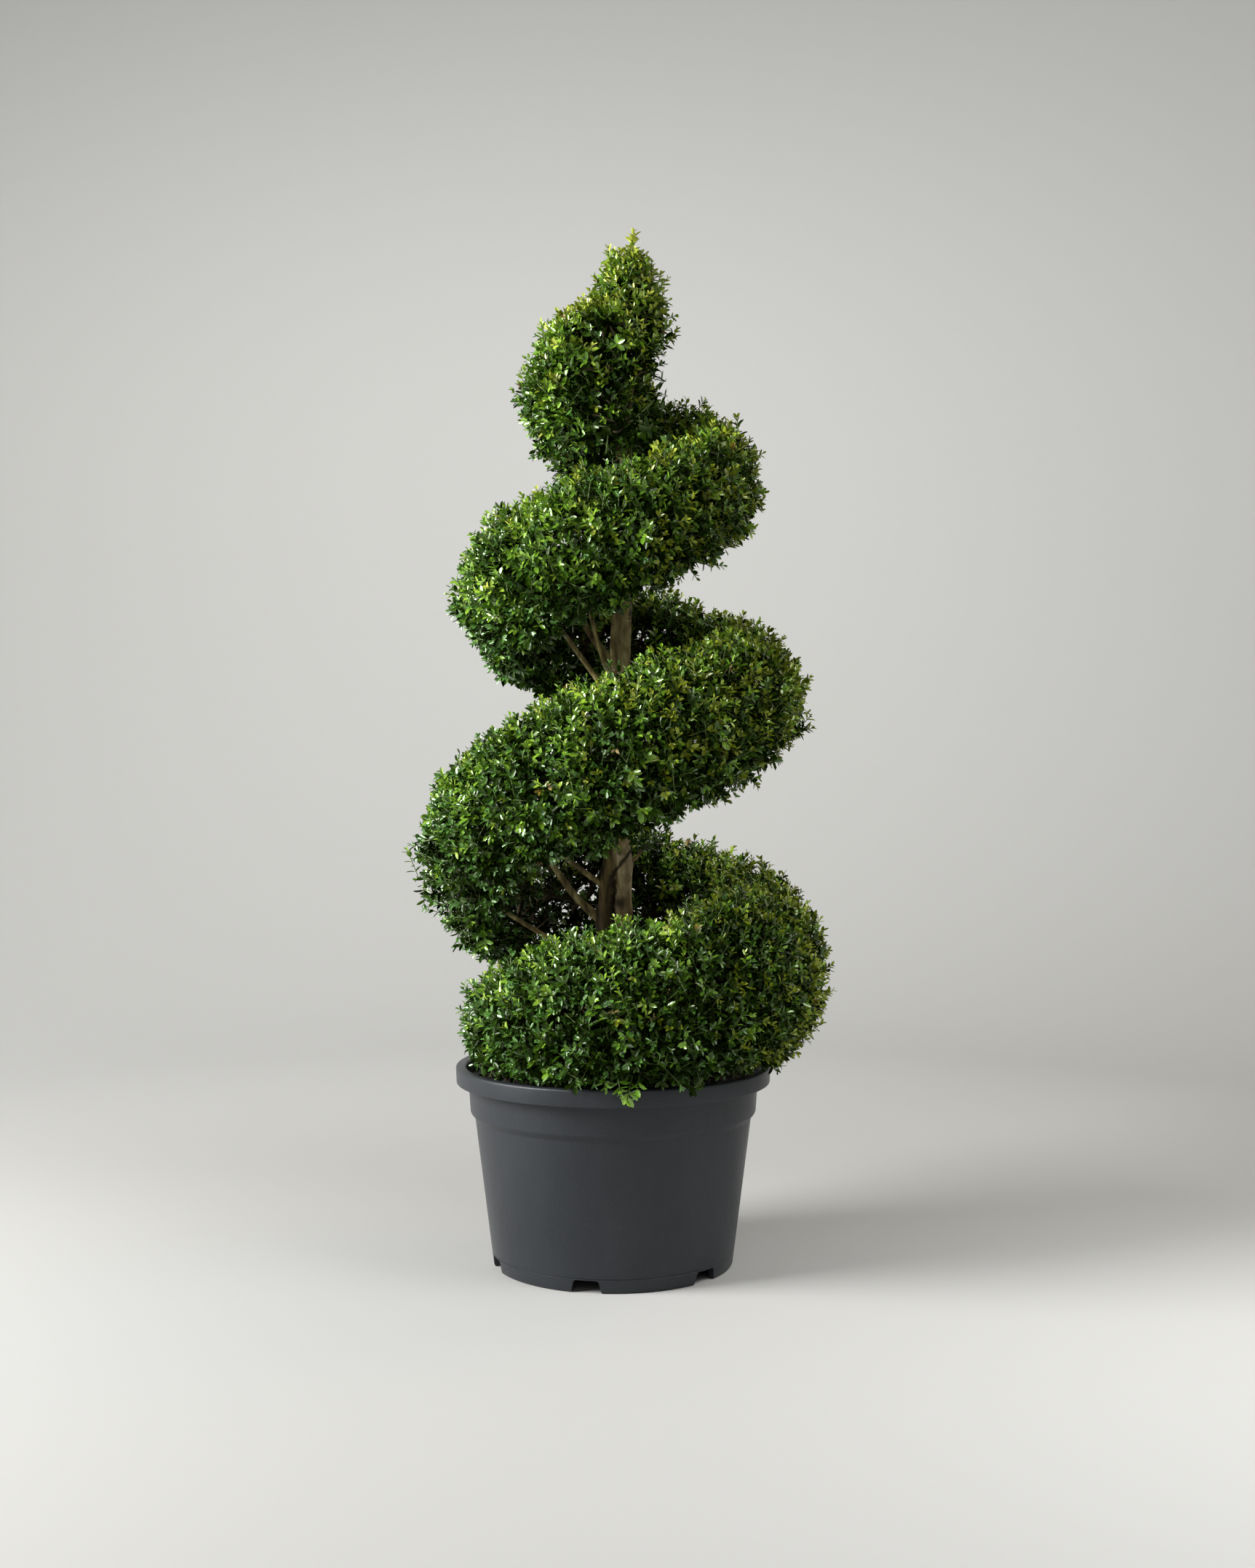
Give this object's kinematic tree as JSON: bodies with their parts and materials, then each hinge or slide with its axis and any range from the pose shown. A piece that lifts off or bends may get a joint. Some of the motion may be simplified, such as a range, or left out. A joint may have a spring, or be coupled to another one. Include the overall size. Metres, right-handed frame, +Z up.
{
  "type": "potted boxwood spiral topiary",
  "caption": "Clipped boxwood rising in a leafy spiral round a bare leaning trunk, in a round dark plastic nursery pot that stands by itself.",
  "frame": {"origin": "centre of the flat pad under the pot, where it stands on the ground", "axes": "+Z up along the plant; -Y is the front of the picture, where the spiral climbs from left to right; +X to the right"},
  "size_m": [0.5911, 0.5806, 1.4783],
  "materials": {
    "pot_plastic": "moulded matt charcoal plastic with a faint mottle",
    "soil": "dark crumbly potting soil",
    "bark": "finely furrowed grey-brown bark",
    "leaves": "small glossy evergreen leaves"
  },
  "bodies": {
    "root": {"pot": "pot_plastic", "soil": "soil", "trunk": "bark", "bough_0_back": "bark", "bough_1_left": "bark", "bough_1_front": "bark", "bough_1_right": "bark", "bough_1_back": "bark", "bough_2_left": "bark", "bough_2_front": "bark", "bough_2_right": "bark", "bough_2_back": "bark", "bough_3_left": "bark", "bough_3_front": "bark", "bough_3_right": "bark", "bough_3_back": "bark", "bough_4_left": "bark", "foliage_0_back": "leaves", "foliage_1_left": "leaves", "foliage_1_front": "leaves", "foliage_1_right": "leaves", "foliage_1_back": "leaves", "foliage_2_left": "leaves", "foliage_2_front": "leaves", "foliage_2_right": "leaves", "foliage_2_back": "leaves", "foliage_3_left": "leaves", "foliage_3_front": "leaves", "foliage_3_right": "leaves", "foliage_3_back": "leaves", "foliage_4_left": "leaves", "foliage_head": "leaves"}
  },
  "joints": []
}
